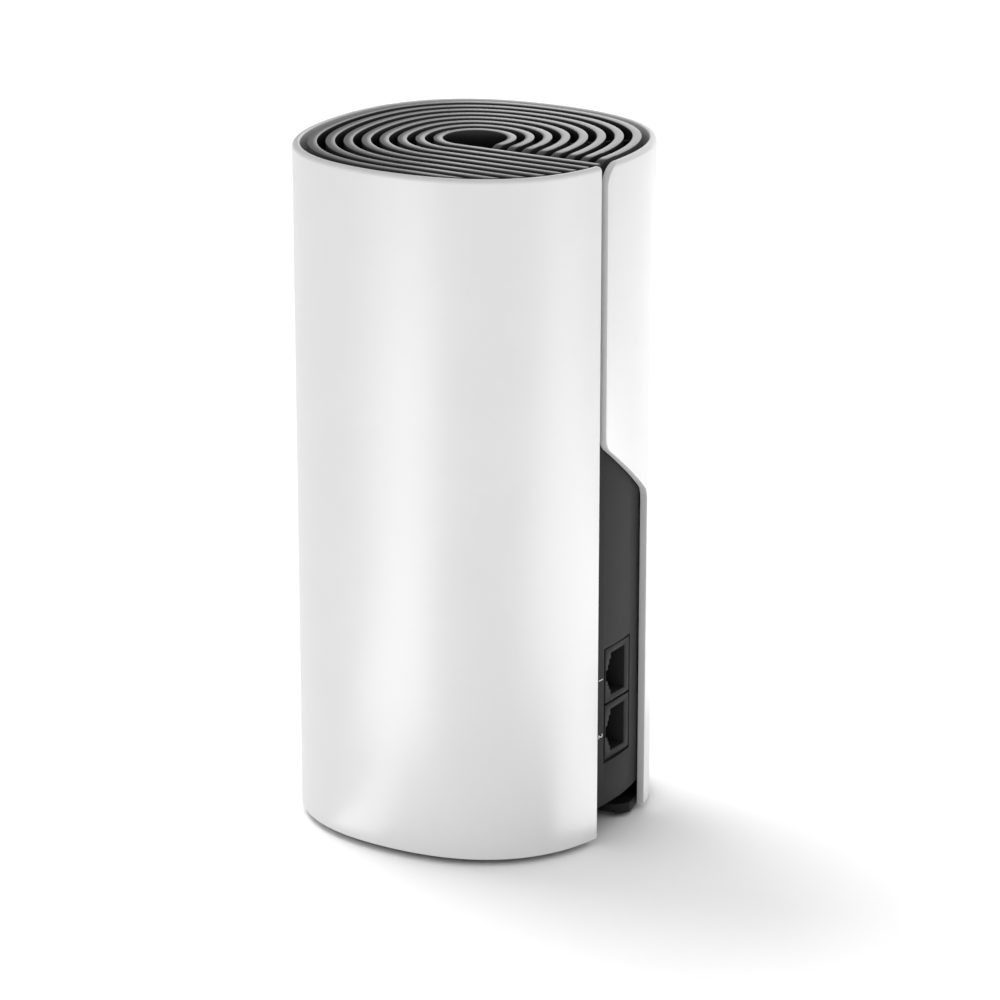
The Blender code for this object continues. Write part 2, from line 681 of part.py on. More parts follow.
def build_screws():
    under_head = FOOT_HEIGHT + 2 * GAP + HEAD_HEIGHT
    for number, degrees in enumerate(BASE_SCREWS, 1):
        tip = BASE_TOP + LUG_HEIGHT - 2 * MM
        add_screw(f"base_screw_{number}", polar(BASE_SCREW_RADIUS, degrees), under_head, tip, "Z")
    for name, y, z in board_screw_spots():
        frame = bpy.data.objects["front_frame"]
        left = BOARD_X - BOARD_THICK - GAP - GUIDE_WALL
        right = BOARD_X + GAP + GUIDE_WALL
        cut(frame, f"{name}_way", rod((y, z), SHANK + GAP, left - MM, right + MM, "X", 12))
        add_screw(name, (y, z), right + GAP, left - MM, "X")


def build_reset():
    """The button under the base and the plunger of the switch that it presses."""
    collar = BASE_TOP + GAP
    profile = [(RESET_CAP - 0.4 * MM, BASE_BOTTOM + 0.4 * MM), (RESET_CAP, BASE_BOTTOM + 0.8 * MM)]
    profile += [(RESET_CAP, RESET_STEP), (RESET_STEM, RESET_STEP), (RESET_STEM, collar)]
    profile += [(RESET_COLLAR, collar), (RESET_COLLAR, collar + 0.6 * MM)]
    at = (RESET_X, RESET_Y, BASE_BOTTOM)
    add_object("reset_button", turned(profile, RESET_X, RESET_Y), "black_plastic", at)
    switch = bpy.data.objects["reset_switch"]
    mouth = 13 * MM
    low = collar + 0.6 * MM + GAP
    bore = rod((RESET_X, RESET_Y), 1 * MM + GAP, mouth - MM, mouth + 2.2 * MM, steps=12)
    cut(switch, "plunger_bore", bore)
    plunger = rod((RESET_X, RESET_Y), 1 * MM, low, mouth + 1.2 * MM, steps=12)
    add_object("reset_plunger", plunger, "white_shell", (RESET_X, RESET_Y, low))


def smooth_route(points, spacing):
    """Evenly spaced points along a smooth curve through the given ones."""
    ends = [points[0] * 2 - points[1], *points, points[-1] * 2 - points[-2]]
    fine = []
    for a, b, c, d in zip(ends, ends[1:], ends[2:], ends[3:]):
        for i in range(40):
            t = i / 40
            bend = (2 * a - 5 * b + 4 * c - d) * t * t + (3 * b - a - 3 * c + d) * t**3
            fine.append((2 * b + (c - a) * t + bend) / 2)
    fine.append(points[-1])
    route, travelled = [fine[0]], 0
    for here, ahead in zip(fine, fine[1:]):
        travelled += (ahead - here).length
        if travelled >= spacing:
            route.append(ahead)
            travelled = 0
    if (route[-1] - fine[-1]).length > spacing / 3:
        route.append(fine[-1])
    else:
        route[-1] = fine[-1]
    return route


def add_lead(name, points):
    curve = bpy.data.curves.new(name, "CURVE")
    curve.dimensions = "3D"
    curve.bevel_depth = LEAD_RADIUS
    curve.bevel_resolution = 2
    curve.use_fill_caps = True
    route = smooth_route([Vector(p) for p in points], LEAD_RADIUS * 6)
    spline = curve.splines.new("POLY")
    spline.points.add(len(route) - 1)
    for point, at in zip(spline.points, route):
        point.co = (*at, 1)
    curve.materials.append(material("black_plastic"))
    lead = bpy.data.objects.new(name, curve)
    bpy.context.scene.collection.objects.link(lead)


def build_aerials():
    """Four flat aerials inside the frame, each with a lead down to its plug on the board."""
    spots = [(165, on_left, 25), (225, on_left, 13), (15, on_right, 25), (315, on_right, 13)]
    wide, thick, tall = AERIAL
    for number, (degrees, side, plug_reach) in enumerate(spots, 1):
        inner = AERIAL_RADIUS - thick
        plate = block((inner, AERIAL_RADIUS), (-wide / 2, wide / 2), (AERIAL_BOTTOM, AERIAL_BOTTOM + tall))
        turn = Matrix.Rotation(math.radians(degrees), 3, "Z")
        bmesh.ops.rotate(plate, cent=(0, 0, 0), matrix=turn, verts=plate.verts)
        add_object(f"aerial_{number}", plate, "gold")
        y = BOARD_FRONT + plug_reach * MM
        plug_x = side(0, PLUG_SIZE)
        half = PLUG_SIZE * 0.7
        plug = block(plug_x, (y - half, y + half), (LEAD_Z - half, LEAD_Z + half))
        add_object(f"lead_plug_{number}", plug, "gold")
        top = Vector((*polar(AERIAL_RADIUS - thick / 2, degrees), AERIAL_BOTTOM - GAP))
        out = min(plug_x) if side is on_left else max(plug_x)
        away = -1 if side is on_left else 1
        end = Vector((out + away * GAP, y, LEAD_Z))
        low = Vector((top.x, top.y, LEAD_Z + 12 * MM))
        turn_in = Vector((top.x * 0.8, top.y * 0.8 + y * 0.2, LEAD_Z + 2 * MM))
        near = end + Vector((away * 6 * MM, 0, 0))
        add_lead(f"aerial_lead_{number}", [top, (top + low) / 2, low, turn_in, near, end])


def main():
    clear_scene()
    build_shell()
    build_grille()
    build_frames()
    build_base()
    build_board()
    build_ports()
    build_power()
    build_chips()
    build_light_pipe()
    build_cooling()
    build_screws()
    build_reset()
    build_aerials()


main()
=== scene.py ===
import bmesh
import bpy
import json
import math
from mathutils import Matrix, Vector


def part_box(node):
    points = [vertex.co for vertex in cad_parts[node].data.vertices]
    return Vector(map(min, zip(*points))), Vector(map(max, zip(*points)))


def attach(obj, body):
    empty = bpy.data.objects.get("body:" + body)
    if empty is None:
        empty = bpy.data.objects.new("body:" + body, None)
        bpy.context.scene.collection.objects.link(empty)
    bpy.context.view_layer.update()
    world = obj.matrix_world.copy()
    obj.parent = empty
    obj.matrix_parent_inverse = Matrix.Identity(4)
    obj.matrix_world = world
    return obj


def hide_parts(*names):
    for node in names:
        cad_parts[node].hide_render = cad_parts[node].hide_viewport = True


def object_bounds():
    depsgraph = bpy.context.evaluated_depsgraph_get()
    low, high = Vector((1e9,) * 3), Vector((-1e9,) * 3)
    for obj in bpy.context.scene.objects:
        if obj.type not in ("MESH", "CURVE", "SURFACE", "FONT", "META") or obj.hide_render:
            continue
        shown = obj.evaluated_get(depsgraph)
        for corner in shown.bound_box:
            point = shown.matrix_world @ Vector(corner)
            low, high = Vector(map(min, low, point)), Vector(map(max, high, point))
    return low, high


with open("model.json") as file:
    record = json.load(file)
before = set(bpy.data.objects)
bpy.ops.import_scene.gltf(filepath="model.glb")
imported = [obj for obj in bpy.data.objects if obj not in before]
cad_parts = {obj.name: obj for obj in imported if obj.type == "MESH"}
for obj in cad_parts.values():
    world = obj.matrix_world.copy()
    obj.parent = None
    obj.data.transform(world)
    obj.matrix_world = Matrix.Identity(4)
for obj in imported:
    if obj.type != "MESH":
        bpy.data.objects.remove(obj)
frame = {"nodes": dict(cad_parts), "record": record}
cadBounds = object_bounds()
mm = 0.001
nodes = frame["nodes"]

body = {
    "half": cadBounds[1].x,     # axis to the middle of a flat side
    "height": cadBounds[1].z,
    "bulge": 2.4 * mm,          # how much further out the corners lie
    "wall": 2 * mm,
    "gap": 0.3 * mm,
    "main": "tower",
}


# ---- working habits: selecting, shaping and finishing ----

def startFresh():
    if bpy.context.mode != "OBJECT":
        bpy.ops.object.mode_set(mode="OBJECT")
    bpy.ops.object.select_all(action="DESELECT")


def activate(piece):
    startFresh()
    piece.select_set(True)
    bpy.context.view_layer.objects.active = piece


def editPiece(piece, kind="VERT"):
    activate(piece)
    bpy.ops.object.mode_set(mode="EDIT")
    bpy.ops.mesh.select_mode(type=kind)


def pick(piece, test, kind="VERT"):
    # selects the points, edges or faces whose middle passes the test
    bpy.ops.mesh.select_all(action="DESELECT")
    bpy.ops.mesh.select_mode(type=kind)
    mesh = bmesh.from_edit_mesh(piece.data)
    items = {"VERT": mesh.verts, "EDGE": mesh.edges, "FACE": mesh.faces}[kind]
    for item in items:
        middle = item.co if kind == "VERT" else sum((v.co for v in item.verts), Vector()) / len(item.verts)
        if test(middle):
            item.select_set(True)
    mesh.select_flush_mode()
    bmesh.update_edit_mesh(piece.data)


def settle(piece, name, turn=True):
    # puts the piece's place into its mesh
    activate(piece)
    piece.name = piece.data.name = name
    bpy.ops.object.transform_apply(location=True, rotation=turn, scale=True)
    return piece


def addBlock(name, low, high):
    startFresh()
    low, high = Vector(low), Vector(high)
    bpy.ops.mesh.primitive_cube_add(size=1, location=(low + high) / 2, scale=high - low)
    return settle(bpy.context.object, name)


def addRod(name, low, high, radius, sides=32):
    startFresh()
    low, high = Vector(low), Vector(high)
    turn = (high - low).to_track_quat("Z", "Y").to_euler()
    bpy.ops.mesh.primitive_cylinder_add(
        vertices=sides, radius=radius, depth=(high - low).length, location=(low + high) / 2, rotation=turn)
    return settle(bpy.context.object, name)


def useModifier(piece, kind, **values):
    activate(piece)
    step = piece.modifiers.new(kind.lower(), kind)
    for key, value in values.items():
        setattr(step, key, value)
    bpy.ops.object.modifier_apply(modifier=step.name)


def cutWith(piece, *tools):
    for tool in tools:
        useModifier(piece, "BOOLEAN", operation="DIFFERENCE", solver="EXACT", object=tool)
        bpy.data.objects.remove(tool)


def fixNormals(piece, merge=True):
    editPiece(piece)
    bpy.ops.mesh.select_all(action="SELECT")
    if merge:
        bpy.ops.mesh.remove_doubles(threshold=0.002 * mm)
    bpy.ops.mesh.normals_make_consistent(inside=False)
    bpy.ops.object.mode_set(mode="OBJECT")


def softenEdges(piece, width, segments=2, angle=35):
    useModifier(
        piece, "BEVEL", width=width, segments=segments, limit_method="ANGLE", harden_normals=False,
        angle_limit=math.radians(angle), use_clamp_overlap=True, miter_outer="MITER_ARC")


def smoothShade(piece, angle=32):
    activate(piece)
    bpy.ops.object.shade_smooth_by_angle(angle=math.radians(angle))


def joinPieces(name, pieces):
    startFresh()
    for piece in pieces:
        piece.select_set(True)
    bpy.context.view_layer.objects.active = pieces[0]
    bpy.ops.object.join()
    return settle(bpy.context.object, name)


def turnUp(name, profile, sides, closed=False):
    # a round piece drawn up ring by ring through (radius, z); closed joins the last ring to the first
    startFresh()
    bpy.ops.mesh.primitive_circle_add(vertices=sides, radius=profile[0][0], fill_type="NOTHING")
    piece = bpy.context.object
    editPiece(piece)
    bpy.ops.mesh.select_all(action="SELECT")
    bpy.ops.transform.translate(value=(0, 0, profile[0][1]))
    if not closed:
        bpy.ops.mesh.edge_face_add()
    for (radius, z), (nextRadius, nextZ) in zip(profile, profile[1:]):
        bpy.ops.mesh.extrude_edges_move(TRANSFORM_OT_translate={"value": (0, 0, nextZ - z)})
        grow = nextRadius / radius
        bpy.ops.transform.resize(value=(grow, grow, 1), center_override=(0, 0, nextZ))
    if closed:
        ends = [profile[0], profile[-1]]
        tiny = 0.004 * mm
        pick(piece, lambda p: any(abs(p.xy.length - r) < tiny and abs(p.z - z) < tiny for r, z in ends))
        bpy.ops.mesh.bridge_edge_loops()
    else:
        bpy.ops.mesh.edge_face_add()
    bpy.ops.object.mode_set(mode="OBJECT")
    settle(piece, name)
    fixNormals(piece)
    return piece


def arcPoints(middle, radius, start, end, steps):
    turns = [math.radians(start + (end - start) * i / steps) for i in range(steps + 1)]
    return [(middle[0] + radius * math.cos(t), middle[1] + radius * math.sin(t)) for t in turns]


grille = {
    "hole": 8.4 * mm,
    "bar": 2.3 * mm,
    "rings": 8,
    "rimGap": 2 * mm,
    "depth": 8 * mm,
    "endRound": 5.7 * mm,
    "edge": 0.28 * mm,
    "ribWidth": 1.6 * mm,
    "ribDrop": 3 * mm,
    "skirtWall": 2.4 * mm,
    "skirtDrop": 4.4 * mm,
    "endGap": 0.5 * mm,         # between a bar's straight end and the rim
}
grille["outer"] = body["half"] - body["wall"] - grille["rimGap"]
grille["pitch"] = (grille["outer"] - grille["bar"] - grille["hole"]) / (grille["rings"] - 1)


def squareReach(level, angle):
    share = min(1, max(0, (level - grille["hole"]) / (grille["outer"] - grille["hole"])))
    return level + body["bulge"] * share * math.sin(2 * angle) ** 2


def squareOff(piece, keepQuarter=False):
    # pushes a round piece out towards its four corners, which makes the tower's rounded square
    for point in piece.data.vertices:
        x, y = point.co.x, point.co.y
        level = math.hypot(x, y)
        if level < 1e-6 or (keepQuarter and x > -1e-6 and y > -1e-6):
            continue
        grow = squareReach(level, math.atan2(y, x)) / level
        point.co.x, point.co.y = x * grow, y * grow


def rearY(level, x):
    y = level
    for _ in range(12):
        y = math.sqrt(squareReach(level, math.atan2(y, x)) ** 2 - x * x)
    return y


def hexColour(text):
    # an sRGB hex value as the linear colour that a shader takes
    parts = [int(text[i:i + 2], 16) / 255 for i in (1, 3, 5)]
    return (*[p / 12.92 if p <= 0.04045 else ((p + 0.055) / 1.055) ** 2.4 for p in parts], 1)


def addNode(tree, kind, settings=None, links=None):
    node = tree.nodes.new(kind)
    for key, value in (settings or {}).items():
        if isinstance(key, str) and hasattr(node, key):
            setattr(node, key, value)
        else:
            node.inputs[key].default_value = value
    for key, source in (links or {}).items():
        tree.links.new(source, node.inputs[key])
    return node


def newMaterial(name, shaderValues):
    material = bpy.data.materials.new(name)
    material.use_nodes = True
    tree = material.node_tree
    shader = tree.nodes["Principled BSDF"]
    for key, value in shaderValues.items():
        shader.inputs[key].default_value = value
    coords = tree.nodes.new("ShaderNodeTexCoord")
    return material, tree, shader, coords.outputs["Object"]


def speckle(tree, coords, grain, detail=3, stretch=(1, 1, 1)):
    # noise whose lumps are grain wide
    place = addNode(tree, "ShaderNodeMapping", {"Scale": stretch}, {"Vector": coords})
    return addNode(
        tree, "ShaderNodeTexNoise", {"Scale": 1 / grain, "Detail": detail, "Roughness": 0.55},
        {"Vector": place.outputs[0]}).outputs["Fac"]


def spread(tree, source, low, high):
    return addNode(
        tree, "ShaderNodeMapRange", {"From Min": 0.3, "From Max": 0.7, "To Min": low, "To Max": high},
        {"Value": source}).outputs[0]


def twoTone(tree, source, dark, light):
    ramp = addNode(tree, "ShaderNodeValToRGB", None, {"Fac": source})
    ramp.color_ramp.elements[0].position, ramp.color_ramp.elements[1].position = 0.3, 0.7
    ramp.color_ramp.elements[0].color, ramp.color_ramp.elements[1].color = hexColour(dark), hexColour(light)
    return ramp.outputs[0]


def moulded(name, dark, light, roughness, grain, relief, ior=1.5, extra=None):
    # plastic or rubber out of a mould: a fine spark-eroded grain and a slow drift in gloss and colour
    material, tree, shader, coords = newMaterial(name, {"IOR": ior, **(extra or {})})
    fine = speckle(tree, coords, grain)
    slow = speckle(tree, coords, 18 * mm, 2)
    tree.links.new(twoTone(tree, slow, dark, light), shader.inputs["Base Color"])
    tree.links.new(spread(tree, slow, roughness * 0.96, roughness * 1.04), shader.inputs["Roughness"])
    bump = addNode(tree, "ShaderNodeBump", {"Strength": 0.5, "Distance": relief}, {"Height": fine})
    tree.links.new(bump.outputs[0], shader.inputs["Normal"])
    return material


def worked(name, dark, light, roughness, grain, stretch, relief):
    # metal that was rolled, drawn or brushed: streaks along one way
    material, tree, shader, coords = newMaterial(name, {"Metallic": 1})
    streaks = speckle(tree, coords, grain, 4, stretch)
    tree.links.new(twoTone(tree, streaks, dark, light), shader.inputs["Base Color"])
    tree.links.new(spread(tree, streaks, roughness * 0.8, roughness * 1.25), shader.inputs["Roughness"])
    bump = addNode(tree, "ShaderNodeBump", {"Strength": 0.3, "Distance": relief}, {"Height": streaks})
    tree.links.new(bump.outputs[0], shader.inputs["Normal"])
    return material


def solderMask():
    # glass-fibre board under green mask: runs of copper show as slightly raised, lighter lanes 0.6 mm apart
    material, tree, shader, coords = newMaterial("fr4SolderMask", {"IOR": 1.55, "Roughness": 0.35})
    turned = addNode(tree, "ShaderNodeMapping", {"Rotation": (0, math.radians(90), 0)}, {"Vector": coords})
    lanes = addNode(
        tree, "ShaderNodeTexBrick",
        {"Scale": 1 / (20 * mm), "Mortar Size": 0.008, "Brick Width": 0.9, "Row Height": 0.06,
         "Color1": hexColour("#0d3a22"), "Color2": hexColour("#124a2c"), "Mortar": hexColour("#2b6a3f")},
        {"Vector": turned.outputs[0]})
    tree.links.new(lanes.outputs["Color"], shader.inputs["Base Color"])
    bump = addNode(
        tree, "ShaderNodeBump", {"Strength": 0.4, "Distance": 0.03 * mm}, {"Height": lanes.outputs["Fac"]})
    tree.links.new(bump.outputs[0], shader.inputs["Normal"])
    return material


def labelPaper():
    # white printed label: plain stock with a faint fibre and a grey ring near its edge
    material, tree, shader, coords = newMaterial("labelPaper", {"Roughness": 0.7})
    low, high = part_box("rating_label")
    centre = (low + high) / 2
    place = addNode(tree, "ShaderNodeMapping", {"Location": (-centre.x, -centre.y, 0)}, {"Vector": coords})
    split = addNode(tree, "ShaderNodeSeparateXYZ", None, {0: place.outputs[0]})
    flat = addNode(tree, "ShaderNodeCombineXYZ", None, {"X": split.outputs[0], "Y": split.outputs[1]})
    reach = addNode(tree, "ShaderNodeVectorMath", {"operation": "LENGTH"}, {0: flat.outputs[0]})
    ringRadius, ringHalf = 9.6 * mm, 0.15 * mm
    ring = addNode(
        tree, "ShaderNodeMath", {"operation": "COMPARE", 1: ringRadius, 2: ringHalf},
        {0: reach.outputs["Value"]})
    fibre = twoTone(tree, speckle(tree, coords, 0.4 * mm), "#e4e3df", "#f2f1ee")
    mix = addNode(
        tree, "ShaderNodeMix", {"data_type": "RGBA", 7: hexColour("#8a8a8a")},
        {0: ring.outputs[0], 6: fibre})
    tree.links.new(mix.outputs[2], shader.inputs["Base Color"])
    return material


# satin white ABS, spark-eroded mould: soft wide highlights; the 0.5 mm grain only dulls them
whiteAbs = moulded("satinWhiteAbs", "#ececec", "#eeeeee", 0.38, 0.5 * mm, 0.008 * mm, 1.5)
# black polycarbonate blend, semi-gloss: its flat tops mirror the bright room at a low angle
grillePlastic = moulded("semiGlossBlackPc", "#19191b", "#1f1f21", 0.3, 0.45 * mm, 0.006 * mm, 1.58)
# black ABS with a fine matt texture, as on the inner casing
blackAbs = moulded("mattBlackAbs", "#151516", "#19191a", 0.55, 0.4 * mm, 0.02 * mm, 1.5,
    {"Specular IOR Level": 0.25})
# glass-filled nylon of the sockets, a little browner and rougher than the casing
socketNylon = moulded("socketNylon", "#1b1a1a", "#201f1f", 0.55, 0.35 * mm, 0.015 * mm, 1.53,
    {"Specular IOR Level": 0.25})
# silicone foot, matt and slightly dusty
footSilicone = moulded("footSilicone", "#1b1b1c", "#272728", 0.82, 0.6 * mm, 0.03 * mm, 1.42)
# black epoxy of the chips, ground matt
chipEpoxy = moulded("chipEpoxy", "#141416", "#1d1d20", 0.6, 0.25 * mm, 0.01 * mm, 1.55)
# thermal pad, soft grey-blue silicone filled with ceramic powder
padSilicone = moulded("padSilicone", "#63707f", "#74818f", 0.85, 0.3 * mm, 0.02 * mm, 1.42)
# cable jacket, smooth extruded FEP
leadJacket = moulded("leadJacket", "#1a1a1b", "#202021", 0.35, 1.2 * mm, 0.004 * mm, 1.34)
# white printing ink of the port numbers
printInk = moulded("printInk", "#dcdcdc", "#eaeaea", 0.6, 0.3 * mm, 0.002 * mm, 1.5)
# extruded aluminium: die lines run up the fins
sinkAluminium = worked("extrudedAluminium", "#a9abae", "#c9cbce", 0.36, 0.5 * mm, (1, 1, 0.03), 0.02 * mm)
# tin-plated steel sheet, rolled
tinPlate = worked("tinPlatedSteel", "#8e8f90", "#b0b1b2", 0.32, 0.6 * mm, (1, 0.15, 1), 0.008 * mm)
# gold-flashed phosphor bronze
goldFlash = worked("goldFlash", "#c99a45", "#e3b965", 0.28, 0.3 * mm, (1, 0.2, 1), 0.004 * mm)
maskGreen = solderMask()
labelStock = labelPaper()
# polished clear acrylic of the light pipe
clearAcrylic, acrylicTree, acrylicShader, acrylicCoords = newMaterial(
    "clearAcrylic", {"IOR": 1.49, "Transmission Weight": 0.9})
acrylicHaze = speckle(acrylicTree, acrylicCoords, 1.5 * mm)
acrylicTint = twoTone(acrylicTree, acrylicHaze, "#dfe6ea", "#eef3f5")
acrylicTree.links.new(acrylicTint, acrylicShader.inputs["Base Color"])
acrylicTree.links.new(spread(acrylicTree, acrylicHaze, 0.08, 0.16), acrylicShader.inputs["Roughness"])
print("materials ready")


def setMaterial(piece, material):
    piece.data.materials.clear()
    piece.data.materials.append(material)


def hand(piece, material, slot, *replaced, rides="tower"):
    # gives a finished piece its material and its body, and hides the nodes that it stands for
    setMaterial(piece, material)
    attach(piece, rides)
    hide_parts(*replaced)


# ---- outer shell ----

shell = {
    "bottom": 1.8 * mm,
    "rimFillet": 1.2 * mm,
    "flapEnd": 8.6 * mm,        # x of the flap's side of the seam
    "seam": 2.75 * mm,
    "flapStep": 24.2 * mm,
    "stepTop": 110 * mm,
    "stepDrop": 18.4 * mm,
    "stepFillet": 4.4 * mm,
    "innerNick": 0.4 * mm,      # round of the rim's inner edge
    "footChamfer": 0.25 * mm,
    "edge": 0.35 * mm,
    "sides": 240,
}


def seamTool():
    # all that the shell lacks at the rear, drawn up edge by edge and then pulled through the wall
    left, right = shell["flapEnd"] - shell["flapStep"], shell["flapEnd"] + shell["seam"]
    stepLow, under, over = shell["stepTop"] - shell["stepDrop"], -6 * mm, body["height"] + 6 * mm
    startFresh()
    bpy.ops.mesh.primitive_plane_add(size=1, rotation=(math.pi / 2, 0, 0))
    tool = settle(bpy.context.object, "seamTool")
    editPiece(tool)
    bpy.ops.mesh.select_all(action="SELECT")
    bpy.ops.transform.resize(value=(right - left, 1, stepLow - under), center_override=(0, 0, 0))
    bpy.ops.transform.translate(value=((left + right) / 2, 0, (stepLow + under) / 2))
    bpy.ops.object.mode_set(mode="OBJECT")
    edgeLeft, edgeTop = left, stepLow
    cornerRound = grille["endRound"]
    corner = arcPoints(
        (shell["flapEnd"] - cornerRound, body["height"] - cornerRound), cornerRound, 0, 90, 10)
    for x, z in [(shell["flapEnd"], shell["stepTop"]), *corner, (corner[-1][0], over)]:
        editPiece(tool)
        pick(tool, lambda p: abs(p.z - edgeTop) < 1e-6, "EDGE")
        bpy.ops.mesh.extrude_edges_move(TRANSFORM_OT_translate={"value": (0, 0, z - edgeTop)})
        pick(tool, lambda p: abs(p.z - z) < 1e-6 and p.x < right - 1e-6)
        bpy.ops.transform.translate(value=(x - edgeLeft, 0, 0))
        edgeLeft, edgeTop = x, z
    bpy.ops.mesh.select_all(action="SELECT")
    bpy.ops.mesh.dissolve_faces()
    bends = [(left, stepLow), (shell["flapEnd"], shell["stepTop"])]
    pick(tool, lambda p: any(abs(p.x - x) < 1e-5 and abs(p.z - z) < 1e-5 for x, z in bends))
    slope = math.atan2(shell["stepDrop"], shell["flapStep"])
    reachBack = shell["stepFillet"] * math.tan((math.pi / 2 - slope) / 2)
    bpy.ops.mesh.bevel(offset=reachBack, offset_type="OFFSET", segments=8, affect="VERTICES")
    bpy.ops.mesh.select_all(action="SELECT")
    bpy.ops.transform.translate(value=(0, body["half"] * 0.55, 0))
    bpy.ops.mesh.extrude_region_move(TRANSFORM_OT_translate={"value": (0, body["half"] * 0.8, 0)})
    bpy.ops.object.mode_set(mode="OBJECT")
    fixNormals(tool, merge=False)
    return tool


def buildShell():
    half, height, bottom, rimFillet = body["half"], body["height"], shell["bottom"], shell["rimFillet"]
    inside, nick, chamfer = half - body["wall"], shell["innerNick"], shell["footChamfer"]
    fillet = arcPoints((half - rimFillet, height - rimFillet), rimFillet, 0, 90, 8)
    profile = [(half - chamfer, bottom), (half, bottom + chamfer), *fillet]
    profile += [*arcPoints((inside + nick, height - nick), nick, 90, 180, 3), (inside, bottom)]
    wall = turnUp("whiteShell", profile, shell["sides"], closed=True)
    squareOff(wall)
    cutWith(wall, seamTool())
    softenEdges(wall, shell["edge"], 3, 50)
    smoothShade(wall, 35)
    hand(wall, whiteAbs, "white_shell", "outer_shell")
    return wall


buildShell()
print("shell done")


# ---- vent grille ----

def bentBar(number):
    # one bar: spun three quarters round, run straight to the rim, its other end sunk beside the first bar
    level = grille["hole"] + number * grille["pitch"]
    middle, top = level + grille["bar"] / 2, body["height"]
    startFresh()
    bpy.ops.mesh.primitive_plane_add(
        size=1, location=(middle, 0, top - grille["depth"] / 2), rotation=(math.pi / 2, 0, 0))
    bar = bpy.context.object
    bar.scale = (grille["bar"], grille["depth"], 1)
    settle(bar, f"bar{number}")
    editPiece(bar)
    bpy.ops.mesh.select_all(action="SELECT")
    steps = 36 + round(72 * level / body["half"])
    bpy.ops.mesh.spin(steps=steps, angle=1.5 * math.pi, center=(0, 0, 0), axis=(0, 0, 1))
    bpy.ops.object.mode_set(mode="OBJECT")
    squareOff(bar, keepQuarter=True)
    sunkTop = top - grille["endRound"]
    dip = arcPoints((grille["hole"] - grille["endRound"], sunkTop), grille["endRound"], 90, 0, 10)
    here, topNow = 0, top
    editPiece(bar)
    for x, z in [*dip, (grille["hole"] + grille["bar"] / 2, sunkTop)]:
        pick(bar, lambda p: abs(p.x - here) < 1e-6 and p.y > 0, "EDGE")
        bpy.ops.mesh.extrude_edges_move(TRANSFORM_OT_translate={"value": (x - here, 0, 0)})
        if z < topNow - 1e-7:
            pick(bar, lambda p: abs(p.x - x) < 1e-6 and p.y > 0 and abs(p.z - topNow) < 1e-6)
            bpy.ops.transform.translate(value=(0, 0, z - topNow))
        here, topNow = x, z
    rim = body["half"] - body["wall"] - grille["endGap"]
    inner, outer = rearY(rim, level), rearY(rim, level + grille["bar"])
    pick(bar, lambda p: abs(p.y) < 1e-6 and p.x > 0, "EDGE")
    bpy.ops.mesh.extrude_edges_move(TRANSFORM_OT_translate={"value": (0, outer, 0)})
    pick(bar, lambda p: abs(p.y - outer) < 1e-6 and abs(p.x - level) < 1e-5)
    bpy.ops.transform.translate(value=(0, inner - outer, 0))
    bpy.ops.mesh.select_all(action="SELECT")
    bpy.ops.mesh.fill_holes(sides=4)
    bpy.ops.object.mode_set(mode="OBJECT")
    fixNormals(bar)
    return bar


def buildGrille():
    bars = [bentBar(number) for number in range(grille["rings"])]
    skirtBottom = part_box("top_grille")[0].z
    outer = body["half"] - body["wall"] - body["gap"]
    skirtTop = body["height"] - grille["skirtDrop"]
    inner = outer - grille["skirtWall"]
    profile = [(inner, skirtBottom), (outer, skirtBottom), (outer, skirtTop), (inner, skirtTop)]
    skirt = turnUp("grilleSkirt", profile, 192, closed=True)
    squareOff(skirt)
    ribs = []
    floor = body["height"] - grille["depth"] - 1 * mm    # the ribs reach a little below the bars
    for quarter in range(4):
        rib = addBlock(
            f"rib{quarter}", (grille["hole"] + grille["bar"] / 2, -grille["ribWidth"] / 2, floor),
            (outer, grille["ribWidth"] / 2, body["height"] - grille["ribDrop"]))
        rib.rotation_euler = (0, 0, math.radians(45 + 90 * quarter))
        ribs.append(settle(rib, f"rib{quarter}"))
    for piece in [*bars, *ribs, skirt]:
        softenEdges(piece, grille["edge"], 2, 40)
    whole = joinPieces("spiralGrille", [*bars, *ribs, skirt])
    smoothShade(whole, 35)
    hand(whole, grillePlastic, "black_grille", "top_grille")


buildGrille()
print("grille done")


# ---- inner frame with the port wall ----

portWall = {
    "thick": 2 * mm,
    "from": 30,
    "to": 150,
    "steps": 96,
    "recess": 0.5 * mm,
    "margin": 0.2 * mm,
    "nearMargin": 0.8 * mm,     # the wider joint on the seam's side of the sockets
    "edge": 0.3 * mm,
    "guideWall": 1.6 * mm,      # the ribs inside that hold the board's edge
    "guideReach": 4.5 * mm,
    "digitSize": 2.6 * mm,
    "digitX": 6.9 * mm,
}


def arcWall(name, start, end, steps, low, high):
    # a stretch of the frame's wall, spun about the tower's axis
    outer = body["half"] - body["wall"] - body["gap"]
    turn = math.radians(start)
    middle = outer - portWall["thick"] / 2
    startFresh()
    bpy.ops.mesh.primitive_plane_add(
        size=1, location=(middle, 0, (low + high) / 2), rotation=(math.pi / 2, 0, 0))
    wall = bpy.context.object
    wall.scale = (portWall["thick"], high - low, 1)
    settle(wall, name)
    wall.rotation_euler = (0, 0, turn)
    settle(wall, name)
    editPiece(wall)
    bpy.ops.mesh.select_all(action="SELECT")
    bpy.ops.mesh.spin(steps=steps, angle=math.radians(end - start), center=(0, 0, 0), axis=(0, 0, -1))
    bpy.ops.mesh.select_all(action="SELECT")
    bpy.ops.mesh.fill_holes(sides=4)
    bpy.ops.object.mode_set(mode="OBJECT")
    fixNormals(wall)
    squareOff(wall)
    return wall


